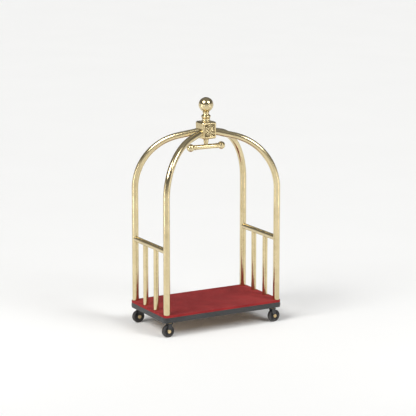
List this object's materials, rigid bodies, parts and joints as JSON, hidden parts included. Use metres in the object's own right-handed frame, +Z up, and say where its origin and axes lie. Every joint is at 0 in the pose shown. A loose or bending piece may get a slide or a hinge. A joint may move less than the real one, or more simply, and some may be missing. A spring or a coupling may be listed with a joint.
{
  "type": "hotel luggage cart",
  "caption": "Birdcage luggage cart: carpeted deck on swivel casters, bent brass uprights meeting in a hub with a ball finial and a hanger bar, end rails on balusters.",
  "frame": {"origin": "on the floor under the centre of the cart", "axes": "+X along the cart's length, -Y the front long side, +Z up"},
  "size_m": [1.1, 0.62, 1.887],
  "materials": {
    "brass_tube": "polished and lacquered brass tube",
    "brass": "polished turned brass",
    "plated_casting": "brass-plated aluminium casting, polished",
    "caster_brass": "brass, satin",
    "carpet": "crimson cut-pile carpet",
    "plywood": "sealed birch plywood",
    "frame_steel": "black powder coat",
    "bumper_rubber": "satin extruded rubber",
    "tyre_rubber": "matt black rubber",
    "wheel_nylon": "moulded black nylon",
    "zinc_steel": "zinc plated"
  },
  "bodies": {
    "cart": {"deck_board": "plywood", "deck_carpet": "carpet", "corner_blocks": "frame_steel", "underframe_side_rails": "frame_steel", "underframe_cross_rails": "frame_steel", "edge_band": "frame_steel", "edge_bumper": "bumper_rubber", "upright_plugs": "zinc_steel", "baluster_plugs": "zinc_steel", "floor_bolts": "zinc_steel", "deck_screws": "zinc_steel", "hub_block": "plated_casting", "hub_rosettes": "brass", "hub_spigots": "zinc_steel", "hub_grub_screws": "zinc_steel", "tie_rod": "zinc_steel", "finial_neck": "brass", "finial_ball": "brass", "hanger_stem": "brass", "hanger_bar": "brass", "hanger_ball_left": "brass", "hanger_ball_right": "brass", "kingpin_nuts": "zinc_steel", "upright_front_left": "brass_tube", "caster_stem_front_left": "zinc_steel", "upright_front_right": "brass_tube", "caster_stem_front_right": "zinc_steel", "upright_rear_left": "brass_tube", "caster_stem_rear_left": "zinc_steel", "upright_rear_right": "brass_tube", "caster_stem_rear_right": "zinc_steel", "end_rail_left": "brass_tube", "baluster_left_front": "brass_tube", "baluster_left_rear": "brass_tube", "end_rail_right": "brass_tube", "baluster_right_front": "brass_tube", "baluster_right_rear": "brass_tube"},
    "caster_front_left": {"caster_race_front_left": "caster_brass", "caster_fork_front_left": "frame_steel", "caster_axle_front_left": "caster_brass"},
    "wheel_front_left": {"caster_wheel_core_front_left": "wheel_nylon", "caster_tyre_front_left": "tyre_rubber"},
    "caster_front_right": {"caster_race_front_right": "caster_brass", "caster_fork_front_right": "frame_steel", "caster_axle_front_right": "caster_brass"},
    "wheel_front_right": {"caster_wheel_core_front_right": "wheel_nylon", "caster_tyre_front_right": "tyre_rubber"},
    "caster_rear_left": {"caster_race_rear_left": "caster_brass", "caster_fork_rear_left": "frame_steel", "caster_axle_rear_left": "caster_brass"},
    "wheel_rear_left": {"caster_wheel_core_rear_left": "wheel_nylon", "caster_tyre_rear_left": "tyre_rubber"},
    "caster_rear_right": {"caster_race_rear_right": "caster_brass", "caster_fork_rear_right": "frame_steel", "caster_axle_rear_right": "caster_brass"},
    "wheel_rear_right": {"caster_wheel_core_rear_right": "wheel_nylon", "caster_tyre_rear_right": "tyre_rubber"}
  },
  "joints": [
    {"name": "swivel_front_left", "type": "hinge", "parent": "cart", "child": "caster_front_left", "pos_m": [-0.484, -0.262, 0.12], "axis": [0, 0, 1], "continuous": true},
    {"name": "roll_front_left", "type": "hinge", "parent": "caster_front_left", "child": "wheel_front_left", "pos_m": [-0.498, -0.262, 0.051], "axis": [0, 1, 0], "continuous": true},
    {"name": "swivel_front_right", "type": "hinge", "parent": "cart", "child": "caster_front_right", "pos_m": [0.484, -0.262, 0.12], "axis": [0, 0, 1], "continuous": true},
    {"name": "roll_front_right", "type": "hinge", "parent": "caster_front_right", "child": "wheel_front_right", "pos_m": [0.498, -0.262, 0.051], "axis": [0, 1, 0], "continuous": true},
    {"name": "swivel_rear_left", "type": "hinge", "parent": "cart", "child": "caster_rear_left", "pos_m": [-0.484, 0.262, 0.12], "axis": [0, 0, 1], "continuous": true},
    {"name": "roll_rear_left", "type": "hinge", "parent": "caster_rear_left", "child": "wheel_rear_left", "pos_m": [-0.498, 0.262, 0.051], "axis": [0, 1, 0], "continuous": true},
    {"name": "swivel_rear_right", "type": "hinge", "parent": "cart", "child": "caster_rear_right", "pos_m": [0.484, 0.262, 0.12], "axis": [0, 0, 1], "continuous": true},
    {"name": "roll_rear_right", "type": "hinge", "parent": "caster_rear_right", "child": "wheel_rear_right", "pos_m": [0.47, 0.262, 0.051], "axis": [0, 1, 0], "continuous": true}
  ]
}
